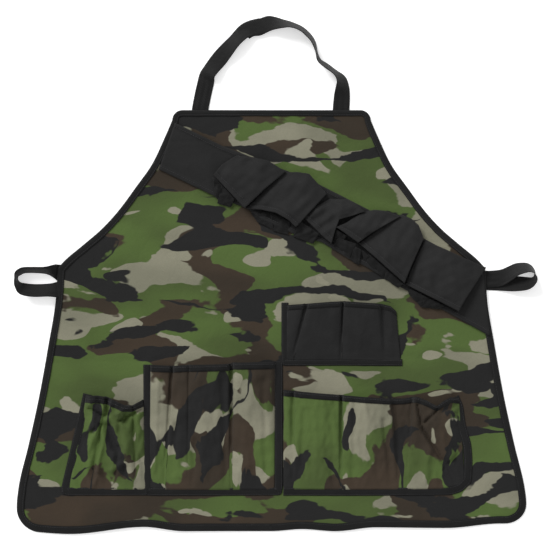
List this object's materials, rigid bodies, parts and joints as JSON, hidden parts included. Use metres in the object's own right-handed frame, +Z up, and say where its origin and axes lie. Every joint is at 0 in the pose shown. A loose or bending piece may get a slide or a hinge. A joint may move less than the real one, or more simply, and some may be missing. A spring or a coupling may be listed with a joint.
{
  "type": "gardening apron",
  "caption": "Bib apron of camouflage cloth laid flat, with neck and waist straps, a diagonal bandolier of can sleeves, a tool pocket and a row of pleated pockets",
  "frame": {"origin": "middle of the bounding box, on the surface that the apron lies on", "axes": "+Z up from the surface, through the front of the apron; +Y towards the neck strap; +X towards the right side of the apron as seen from its front"},
  "size_m": [0.7814, 0.7748, 0.0308],
  "materials": {
    "camouflage_cloth": "woven polyester canvas printed in green, khaki, brown and black",
    "black_cloth": "plain woven black polyester cloth, slight sheen",
    "binding_tape": "ribbed black binding tape, stitched",
    "webbing": "black woven polypropylene webbing"
  },
  "bodies": {
    "root": {"apron_panel": "camouflage_cloth", "binding_hem": "binding_tape", "binding_side_right": "binding_tape", "binding_armhole_right": "binding_tape", "binding_top": "binding_tape", "binding_armhole_left": "binding_tape", "binding_side_left": "binding_tape", "neck_strap_left": "webbing", "neck_strap_right": "webbing", "waist_strap_left": "webbing", "waist_strap_right": "webbing", "bandolier_band": "black_cloth", "bandolier_sleeve_1": "black_cloth", "bandolier_sleeve_2": "black_cloth", "bandolier_sleeve_3": "black_cloth", "bandolier_sleeve_4": "black_cloth", "bandolier_sleeve_5": "black_cloth", "bandolier_sleeve_6": "black_cloth", "tool_pocket": "black_cloth", "tool_pocket_hem": "binding_tape", "tool_pocket_binding": "binding_tape", "centre_pocket": "camouflage_cloth", "centre_pocket_hem": "binding_tape", "centre_pocket_binding": "binding_tape", "left_pocket": "camouflage_cloth", "left_pocket_hem": "binding_tape", "left_pocket_binding": "binding_tape", "right_pocket": "camouflage_cloth", "right_pocket_hem": "binding_tape", "right_pocket_binding": "binding_tape"}
  },
  "joints": []
}
